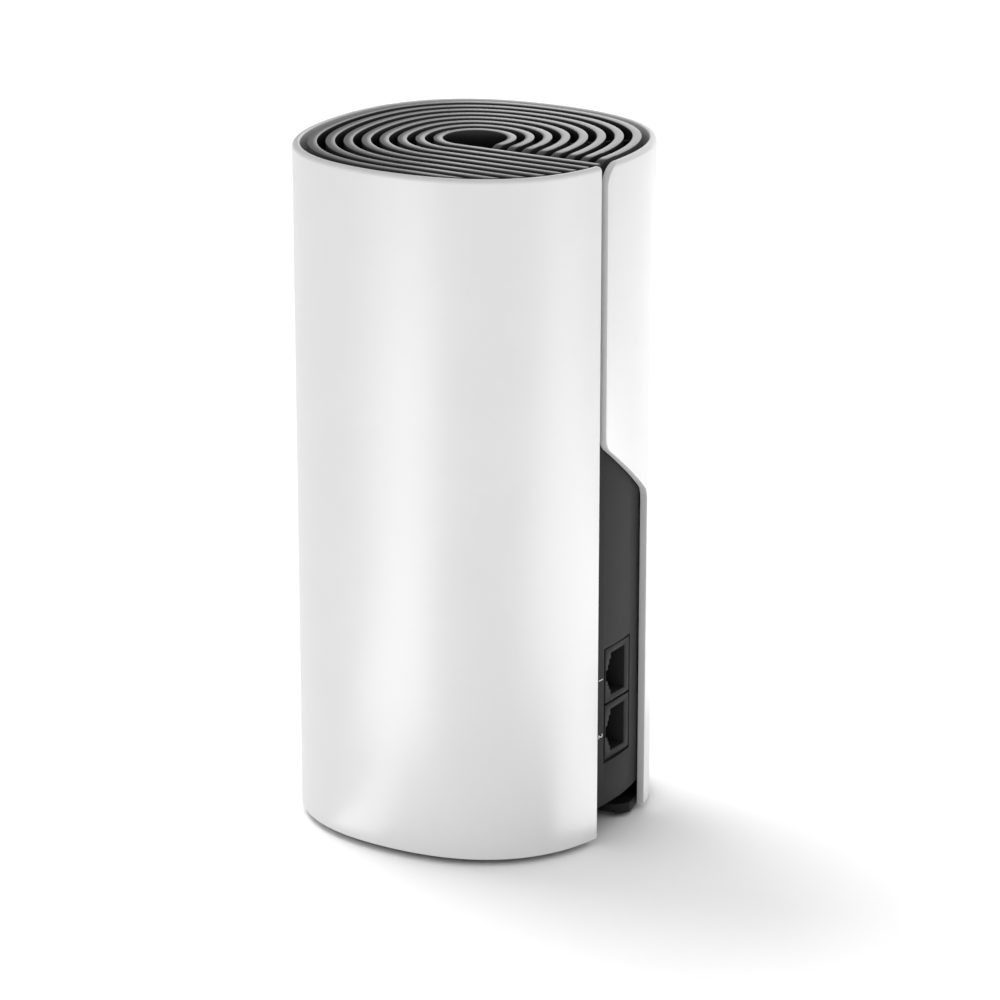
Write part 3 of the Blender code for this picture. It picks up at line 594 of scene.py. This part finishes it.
def portDigit(text, z):
    startFresh()
    bpy.ops.object.text_add(location=(0, 0, 0))
    digit = bpy.context.object
    digit.data.body = text
    digit.data.size = portWall["digitSize"]
    digit.data.align_x = digit.data.align_y = "CENTER"
    digit.data.extrude = 0.05 * mm
    activate(digit)
    bpy.ops.object.convert(target="MESH")
    digit = bpy.context.object
    x = portWall["digitX"]
    y = rearY(body["half"] - body["wall"] - body["gap"], x)
    lean = math.atan2(x, y) * 0.55
    digit.rotation_euler = (math.pi / 2, math.pi / 2, math.pi - lean)
    digit.location = (x, y + 0.04 * mm, z)
    return settle(digit, "digit" + text)


def buildPortWall():
    low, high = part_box("rear_frame")
    wall = arcWall("portWall", portWall["from"], portWall["to"], portWall["steps"], low.z, high.z)
    first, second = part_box("rj45_jack_1"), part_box("rj45_jack_2")
    left, right = first[0].x - body["gap"], first[1].x + body["gap"]
    bottom, top = second[0].z - body["gap"], first[1].z + body["gap"]
    face = first[1].y
    margin = portWall["margin"]
    window = addBlock("windowTool", (left, face - 8 * mm, bottom), (right, face + 8 * mm, top))
    recess = addBlock(
        "recessTool", (left - margin, face - portWall["recess"], bottom - 2 * margin),
        (right + portWall["nearMargin"], face + 8 * mm, top + margin))
    cutWith(wall, window, recess)
    softenEdges(wall, portWall["edge"], 2, 40)
    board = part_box("main_board")
    ribs = []
    ribWall, ribStart = portWall["guideWall"], board[1].y - portWall["guideReach"]
    for x in (board[0].x - 1.9 * mm, board[1].x + 0.3 * mm):
        reach = rearY(body["half"] - body["wall"] - body["gap"] - portWall["thick"], x)
        rib = addBlock(
            "guide", (x, ribStart, top + 8 * mm), (x + ribWall, reach + 0.8 * mm, high.z - 4 * mm))
        softenEdges(rib, portWall["edge"])
        ribs.append(rib)
    whole = joinPieces("portWall", [wall, *ribs])
    smoothShade(whole, 35)
    hand(whole, blackAbs, "black_plastic", "rear_frame")
    for number in (1, 2):
        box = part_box(f"rj45_jack_{number}")
        digit = portDigit(str(number), (box[0].z + box[1].z) / 2)
        setMaterial(digit, printInk)
        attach(digit, body["main"])


buildPortWall()
print("port wall done")


# ---- network sockets ----

socket = {
    "floor": 2.6 * mm,
    "width": 7.2 * mm,
    "height": 11.9 * mm,
    "depth": 13 * mm,
    "latch": (1.5 * mm, 5.9 * mm),
    "key": (1 * mm, 3.2 * mm),
    "edge": 0.25 * mm,
    "contacts": 8,
    "contactPitch": 1.02 * mm,
    "wire": 0.36 * mm,
}


def buildSocket(number):
    low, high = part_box(f"rj45_jack_{number}")
    z = (low.z + high.z) / 2
    x = low.x + socket["floor"]
    front, back = high.y, high.y - socket["depth"]
    jack = addBlock(f"networkSocket{number}", low, high)
    softenEdges(jack, socket["edge"], 2)
    latchDepth, latchHeight = socket["latch"]
    keyDepth, keyHeight = socket["key"]
    tall, wide = socket["height"] / 2, socket["width"]
    shelf = tall * 0.72
    cutWith(
        jack,
        addBlock("plugTool", (x, back, z - tall), (x + wide, front + 2 * mm, z + tall)),
        addBlock(
            "latchTool", (x + 1 * mm, back, z - latchHeight / 2),
            (x + wide + latchDepth, front + 2 * mm, z + latchHeight / 2)),
        addBlock(
            "keyTool", (x + 2 * mm, back, z - keyHeight / 2),
            (x + wide + latchDepth + keyDepth, front + 2 * mm, z + keyHeight / 2)),
        addBlock(
            "shelfTool", (x + 1 * mm, back, z - shelf),
            (x + wide + 0.8 * mm, front + 2 * mm, z + shelf)))
    editPiece(jack, "FACE")
    bpy.ops.mesh.select_all(action="SELECT")
    bpy.ops.mesh.dissolve_limited(angle_limit=math.radians(1))
    bpy.ops.object.mode_set(mode="OBJECT")
    softenEdges(jack, 0.12 * mm, 2, 50)
    smoothShade(jack, 35)
    hand(jack, socketNylon, "black_plastic", f"rj45_jack_{number}")


def buildContacts(number):
    # eight sprung wires on their carrier: each comes out of it, runs forward and slopes to the floor
    low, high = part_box(f"rj45_contacts_{number}")
    z = (low.z + high.z) / 2
    carrier = addBlock(
        f"springContacts{number}", (low.x, low.y, low.z), (low.x + 5 * mm, low.y + 1.5 * mm, high.z))
    softenEdges(carrier, 0.2 * mm)
    wires = []
    wire = socket["wire"]
    path = [(0, 1.55), (-0.175, 1.364), (-0.49, 0.992), (-1.12, 0.682), (-1.05, 0.496)]
    for i in range(socket["contacts"]):
        middle = z + (i - (socket["contacts"] - 1) / 2) * socket["contactPitch"]
        startFresh()
        start = (low.x + 3.2 * mm, low.y + 1 * mm, middle)
        bpy.ops.mesh.primitive_plane_add(size=wire, location=start, rotation=(math.pi / 2, 0, 0))
        strand = settle(bpy.context.object, f"wire{i}")
        editPiece(strand, "FACE")
        bpy.ops.mesh.select_all(action="SELECT")
        for dx, dy in path:
            bpy.ops.mesh.extrude_region_move(TRANSFORM_OT_translate={"value": (dx * mm, dy * mm, 0)})
        bpy.ops.object.mode_set(mode="OBJECT")
        fixNormals(strand)
        softenEdges(strand, 0.06 * mm, 2, 50)
        wires.append(strand)
    whole = joinPieces(f"springContacts{number}", [carrier, *wires])
    smoothShade(whole, 40)
    hand(whole, goldFlash, "gold", f"rj45_contacts_{number}")


for number in (1, 2):
    buildSocket(number)
    buildContacts(number)
print("sockets done")


# ---- base, foot and what shows underneath ----

base = {
    "bottom": 1.2 * mm,
    "plateTop": 4 * mm,
    "plateInset": 2.5 * mm,
    "pedestalInset": 8 * mm,
    "footInner": body["half"] - 12.5 * mm,
    "footOuter": body["half"] - 6 * mm,
    "footHeight": 1.6 * mm,
    "notchLeft": -6.1 * mm,
    "notchWidth": 13 * mm,
    "notchRound": 7 * mm,
    "footCut": 5.6 * mm,
    "pocketLeft": -9.6 * mm,
    "pocketTop": 8.7 * mm,
    "capWay": 5.3 * mm,         # how far up the button's cap can go
    "edge": 0.3 * mm,
}
headRadius, headHeight, shankRadius = 2.5 * mm, 1.6 * mm, 1.3 * mm     # of every screw


def notchTool():
    # the cable notch, flared where it opens through the plate's edge
    left, right = base["notchLeft"], base["notchLeft"] + base["notchWidth"]
    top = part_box("base_cover")[1].z + 2 * mm
    mouth = body["half"] - base["plateInset"] - 0.3 * mm
    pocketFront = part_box("power_socket")[0].y + 15 * mm
    flareRound = base["notchRound"]
    throat = mouth - flareRound
    tool = addBlock("notchTool", (left, pocketFront - 2 * mm, -1 * mm), (right, throat, top))
    reached, width = throat, 0
    flare = arcPoints((flareRound, 0), flareRound, 180, 90, 8)
    editPiece(tool)
    for x, y in [*flare[1:], (flare[-1][0], flare[-1][1] + 12 * mm)]:
        ahead = throat + y
        pick(tool, lambda p: abs(p.y - reached) < 1e-7, "FACE")
        bpy.ops.mesh.extrude_region_move(TRANSFORM_OT_translate={"value": (0, ahead - reached, 0)})
        grow = (right - left + 2 * x) / (right - left + 2 * width)
        bpy.ops.transform.resize(value=(grow, 1, 1), center_override=((left + right) / 2, 0, 0))
        reached, width = ahead, x
    bpy.ops.object.mode_set(mode="OBJECT")
    fixNormals(tool, merge=False)
    return tool


def middleOf(node):
    low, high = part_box(node)
    return (low + high) / 2


def boreTool(name, spot, low, high, radius, sides):
    # an upright rod through the spot, to cut a bore with
    return addRod(name, (spot.x, spot.y, low), (spot.x, spot.y, high), radius, sides)


def buildBase():
    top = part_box("base_cover")[1].z
    plate, pedestal = body["half"] - base["plateInset"], body["half"] - base["pedestalInset"]
    groove = base["footHeight"] + body["gap"]
    inner, outer = base["footInner"] - body["gap"], base["footOuter"] + body["gap"]
    profile = [(inner, base["bottom"]), (inner, groove), (outer, groove), (outer, base["bottom"])]
    plateTop, past = base["plateTop"], top + 1 * mm
    profile += [(plate, base["bottom"]), (plate, plateTop), (pedestal, plateTop), (pedestal, top)]
    tray = turnUp("baseTray", profile, 180)
    squareOff(tray)
    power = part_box("power_socket")
    pocketBack, pocketFront = power[0].y - 4.5 * mm, power[0].y + 15 * mm
    pocketRight = base["notchLeft"] + base["notchWidth"]
    gap = body["gap"]
    tools = [
        notchTool(),
        addBlock(
            "pocketTool", (base["pocketLeft"], pocketBack, -1 * mm),
            (pocketRight, pocketFront, base["pocketTop"])),
        addBlock(
            "powerTool", (power[0].x - gap, power[0].y - gap, base["pocketTop"] - 1 * mm),
            (power[1].x + gap, power[1].y + gap, past)),
    ]
    headTop = groove + gap + headHeight + gap
    for number in range(1, 5):
        spot = middleOf(f"base_screw_{number}")
        tools.append(boreTool("headTool", spot, 0, headTop, headRadius + gap, 32))
        tools.append(boreTool("shankTool", spot, 1 * mm, past, shankRadius + gap, 24))
    spot = middleOf("reset_button")
    tools += [
        boreTool("capTool", spot, 0, base["capWay"], 2.9 * mm, 48),
        boreTool("stemTool", spot, 1 * mm, past, 1.8 * mm, 32),
        boreTool("pipeTool", middleOf("light_pipe"), 0, past, 1.8 * mm, 32),
    ]
    cutWith(tray, *tools)
    softenEdges(tray, base["edge"], 2, 40)
    smoothShade(tray, 35)
    hand(tray, blackAbs, "black_plastic", "base_cover")


def buildFoot():
    inner, outer, high = base["footInner"], base["footOuter"], base["footHeight"]
    middle, dip = (inner + outer) / 2, 0.35 * mm
    wide, narrow = 0.35 * mm, 0.2 * mm      # half of a groove's width at its mouth and at its floor
    profile = [(inner, high), (inner, 0.3 * mm), (inner + 0.3 * mm, 0)]
    for place in (middle - 1.6 * mm, middle, middle + 1.6 * mm):
        profile += [(place - wide, 0), (place - narrow, dip), (place + narrow, dip), (place + wide, 0)]
    profile += [(outer - 0.3 * mm, 0), (outer, 0.3 * mm), (outer, high)]
    ring = turnUp("footRing", profile, 180, closed=True)
    squareOff(ring)
    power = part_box("power_socket")
    left = base["notchLeft"] - base["footCut"]
    right = base["notchLeft"] + base["notchWidth"] + base["footCut"]
    cutWith(ring, addBlock("footTool", (left, power[0].y, -1 * mm), (right, body["half"], high + 1 * mm)))
    softenEdges(ring, 0.15 * mm, 2, 60)
    smoothShade(ring, 35)
    hand(ring, footSilicone, "rubber", "foot_ring")


def roundPiece(name, profile, centre, sides, edge, material, slot, node, rides="tower"):
    piece = turnUp(name, profile, sides)
    piece.location = (centre.x, centre.y, 0)
    settle(piece, name)
    if edge:
        softenEdges(piece, edge, 2, 40)
    smoothShade(piece, 35)
    hand(piece, material, slot, node, rides=rides)
    return piece


def buildButton():
    low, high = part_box("reset_button")
    dish = 0.25 * mm
    collar = high.z - 0.6 * mm
    profile = [(0.6 * mm, low.z + dish), (1.4 * mm, low.z + dish * 0.5), (2 * mm, low.z), (2.3 * mm, low.z)]
    profile += [(2.6 * mm, low.z + 0.4 * mm), (2.6 * mm, 4.4 * mm), (1.5 * mm, 4.4 * mm), (1.5 * mm, collar)]
    profile += [(2.4 * mm, collar), (2.4 * mm, high.z)]
    roundPiece(
        "resetCap", profile, middleOf("reset_button"), 48, 0.12 * mm, blackAbs, "black_plastic",
        "reset_button", "reset_button")
    low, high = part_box("reset_plunger")
    profile = [(0.7 * mm, low.z), (1 * mm, low.z + 0.3 * mm), (1 * mm, high.z)]
    roundPiece(
        "switchPlunger", profile, middleOf("reset_plunger"), 32, 0, whiteAbs, "white_shell",
        "reset_plunger", "reset_plunger")


def buildPipe():
    low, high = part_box("light_pipe")
    lens = arcPoints((0, low.z + 1.8 * mm), 1.8 * mm, -80, -56, 4)
    profile = [*lens, (1.5 * mm, low.z + 1 * mm), (1.5 * mm, high.z)]
    roundPiece(
        "lightPipe", profile, middleOf("light_pipe"), 32, 0.1 * mm, clearAcrylic, "clear", "light_pipe")


def screwBody(length):
    # a pan-head screw pointing up from z = 0, its head below: dome, cross recess and a stepped thread
    profile = [(0.5 * mm, 0), (headRadius * 0.55, 0.08 * mm), (headRadius * 0.85, 0.35 * mm)]
    profile += [(headRadius, headHeight * 0.6), (headRadius, headHeight), (shankRadius * 0.8, headHeight)]
    z, pitch = headHeight + 0.6 * mm, 0.7 * mm
    while z < length - 1.2 * mm:
        profile += [(shankRadius * 0.8, z), (shankRadius, z + pitch * 0.4)]
        profile += [(shankRadius * 0.8, z + pitch * 0.8)]
        z += pitch
    profile += [(shankRadius * 0.8, length - 0.6 * mm), (shankRadius * 0.4, length)]
    screw = turnUp("screw", profile, 24)
    slotHalf, slotDeep = headRadius * 0.6, headHeight * 0.6
    cutWith(
        screw,
        addBlock("crossTool", (-slotHalf, -0.25 * mm, -1 * mm), (slotHalf, 0.25 * mm, slotDeep)),
        addBlock("crossTool", (-0.25 * mm, -slotHalf, -1 * mm), (0.25 * mm, slotHalf, slotDeep)))
    return screw


def placeScrew(name, node, turn, headSide):
    low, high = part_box(node)
    centre = middleOf(node)
    heads = {
        "below": (centre.x, centre.y, low.z),
        "left": (low.x, centre.y, centre.z),
        "right": (high.x, centre.y, centre.z),
    }
    along = max(range(3), key=lambda i: (high - low)[i])
    screw = screwBody((high - low)[along])
    screw.rotation_euler = turn
    screw.location = heads[headSide]
    settle(screw, name)
    smoothShade(screw, 40)
    hand(screw, tinPlate, "steel", node)


def buildScrews():
    quarter = math.pi / 2
    for number in range(1, 5):
        placeScrew(f"baseScrew{number}", f"base_screw_{number}", (0, 0, 0), "below")
    for number in (1, 2):
        placeScrew(f"sinkScrew{number}", f"sink_screw_{number}", (0, quarter, 0), "left")
        placeScrew(f"sinkScrew{number + 2}", f"sink_screw_{number + 2}", (0, -quarter, 0), "right")
        placeScrew(f"boardScrew{number}", f"board_screw_{number}", (0, -quarter, 0), "right")


buildBase()
buildFoot()
buildButton()
buildPipe()
buildScrews()
print("base done")


# ---- inside: worked-up copies of the simple solids, with broken edges ----

inside = {
    "main_board": ("mainBoard", maskGreen, 0.15),
    "front_frame": ("frontFrame", blackAbs, 0.3),
    "heat_sink_left": ("heatSinkLeft", sinkAluminium, 0.25),
    "heat_sink_right": ("heatSinkRight", sinkAluminium, 0.25),
    "thermal_pad_left": ("thermalPadLeft", padSilicone, 0.2),
    "thermal_pad_right": ("thermalPadRight", padSilicone, 0.2),
    "wifi_shield_low": ("shieldLow", tinPlate, 0.4),
    "wifi_shield_high": ("shieldHigh", tinPlate, 0.4),
    "main_chip": ("mainChip", chipEpoxy, 0.15),
    "memory_chip": ("memoryChip", chipEpoxy, 0.15),
    "flash_chip": ("flashChip", chipEpoxy, 0.15),
    "switch_chip": ("switchChip", chipEpoxy, 0.15),
    "clock_crystal": ("clockCrystal", tinPlate, 0.25),
    "lan_transformer_1": ("lanTransformer1", chipEpoxy, 0.4),
    "lan_transformer_2": ("lanTransformer2", chipEpoxy, 0.4),
    "power_inductor": ("powerInductor", chipEpoxy, 0.9),
    "capacitor_1": ("capacitor1", sinkAluminium, 0.6),
    "capacitor_2": ("capacitor2", sinkAluminium, 0.6),
    "reset_switch": ("resetSwitch", chipEpoxy, 0.25),
    "status_light": ("statusLight", clearAcrylic, 0.2),
    "power_socket": ("powerSocket", socketNylon, 0.35),
    "power_pin": ("powerPin", tinPlate, 0.2),
}


def workUp(node, name, material, edge):
    source = nodes[node]
    mesh = source.data.copy()
    piece = bpy.data.objects.new(name, mesh)
    bpy.context.scene.collection.objects.link(piece)
    settle(piece, name)
    editPiece(piece)
    bpy.ops.mesh.select_all(action="SELECT")
    bpy.ops.mesh.remove_doubles(threshold=0.002 * mm)
    bpy.ops.mesh.dissolve_limited(angle_limit=math.radians(1))
    bpy.ops.object.mode_set(mode="OBJECT")
    softenEdges(piece, edge * mm, 2, 40)
    smoothShade(piece, 35)
    slotName = next(s["material_slot"] for s in frame["record"]["subparts"] if s["node"] == node)
    hand(piece, material, slotName, node)


for node, (name, material, edge) in inside.items():
    workUp(node, name, material, edge)

for number in range(1, 5):
    setMaterial(nodes[f"aerial_{number}"], goldFlash)
    setMaterial(nodes[f"aerial_lead_{number}"], leadJacket)
    setMaterial(nodes[f"lead_plug_{number}"], goldFlash)
setMaterial(nodes["rating_label"], labelStock)
print("inside done")


# ---- floor, light and camera ----

studio = {
    "camera": Vector((895.9, 550.1, 429.9)) * mm,
    "aim": Vector((9.77, 13.5, 90.89)) * mm,
    "lens": 148.98,
    "middle": 0.09,             # height that the lamps point at
    "worldStrength": 0.55,
    "suns": [
        # name, azimuth, height, strength, spread: for the floor only, where the first two cast the shadows
        ("shadowSun", 256, 55, 1.3, 32),
        ("backSun", 222, 60, 0.5, 40),
        ("floorFill", 0, 90, 0.72, 150),
    ],
    "sheens": [
        # name, azimuth, near end, far end, width, radiance: cards on the floor, seen in the shell's gloss
        ("frontSheenNear", -18, 0.05, 0.12, 0.02, 3),
        ("frontSheen", -18, 0.12, 0.35, 0.09, 7),
        ("frontSheenFar", -18, 0.35, 0.95, 0.26, 8),
        ("portSheenNear", 95, 0.05, 0.15, 0.06, 4),
        ("portSheen", 95, 0.15, 0.9, 0.3, 4),
        ("flapSheen", 165, 0.1, 0.9, 0.6, 1.2),
    ],
    "backPanel": (188, 20, 0.8, 0.7, 0.5, 1.8),
}


def pointAt(thing, target):
    thing.rotation_euler = (Vector(target) - thing.location).to_track_quat("-Z", "Y").to_euler()


def around(azimuth, height, distance):
    flat = distance * math.cos(math.radians(height))
    turn = math.radians(azimuth)
    rise = distance * math.sin(math.radians(height))
    return Vector((flat * math.cos(turn), flat * math.sin(turn), studio["middle"] + rise))


def addLamp(name, kind, place, power):
    lamp = bpy.data.objects.new(name, bpy.data.lights.new(name, kind))
    lamp.data.energy = power
    lamp.location = place
    pointAt(lamp, (0, 0, studio["middle"]))
    bpy.context.scene.collection.objects.link(lamp)
    return lamp


def addSoftbox(name, azimuth, height, distance, width, tall, power):
    lamp = addLamp(name, "AREA", around(azimuth, height, distance), power)
    lamp.data.shape, lamp.data.size, lamp.data.size_y = "RECTANGLE", width, tall
    return lamp


def groupOf(name, piece):
    group = bpy.data.collections.new(name)
    group.objects.link(piece)
    return group


def buildStudio():
    startFresh()
    bpy.ops.mesh.primitive_plane_add(size=12)
    floor = settle(bpy.context.object, "studioFloor")
    # matt white paper sweep, with a barely seen drift in its tone
    material, tree, shader, coords = newMaterial(
        "whitePaperSweep", {"Roughness": 0.9, "Specular IOR Level": 0.1})
    tone = twoTone(tree, speckle(tree, coords, 60 * mm), "#fbfbfb", "#fdfdfd")
    tree.links.new(tone, shader.inputs["Base Color"])
    setMaterial(floor, material)
    onlyFloor = groupOf("floorOnly", floor)
    onlyShell = groupOf("shellOnly", bpy.data.objects["whiteShell"])
    for name, azimuth, height, strength, spread in studio["suns"]:
        lamp = addLamp(name, "SUN", around(azimuth, height, 2), strength)
        lamp.data.angle = math.radians(spread)
        lamp.light_linking.receiver_collection = onlyFloor
    for name, azimuth, near, far, width, radiance in studio["sheens"]:
        power = radiance * math.pi * (far - near) * width
        lamp = addLamp(name, "AREA", around(azimuth, 0, (near + far) / 2), power)
        lamp.location.z = 0.002
        lamp.rotation_euler = (math.pi, 0, math.radians(azimuth))
        lamp.data.shape, lamp.data.size, lamp.data.size_y = "RECTANGLE", far - near, width
        lamp.visible_diffuse = lamp.visible_camera = False
        lamp.light_linking.receiver_collection = onlyShell
    panel = addSoftbox("backPanel", *studio["backPanel"])
    panel.visible_diffuse = False       # it only puts the sheen on the vent's flat tops
    world = bpy.data.worlds.new("softWhiteRoom")
    world.use_nodes = True
    background = world.node_tree.nodes["Background"]
    background.inputs["Color"].default_value = (1, 1, 1, 1)
    background.inputs["Strength"].default_value = studio["worldStrength"]
    bpy.context.scene.world = world
    bpy.context.scene.view_settings.view_transform = "Standard"
    camera = bpy.data.objects.new("camera", bpy.data.cameras.new("camera"))
    camera.data.lens, camera.data.sensor_width = studio["lens"], 36
    camera.data.clip_start, camera.data.clip_end = 0.01, 50
    camera.location = studio["camera"]
    pointAt(camera, studio["aim"])
    bpy.context.scene.collection.objects.link(camera)
    bpy.context.scene.camera = camera


buildStudio()
print("studio done")
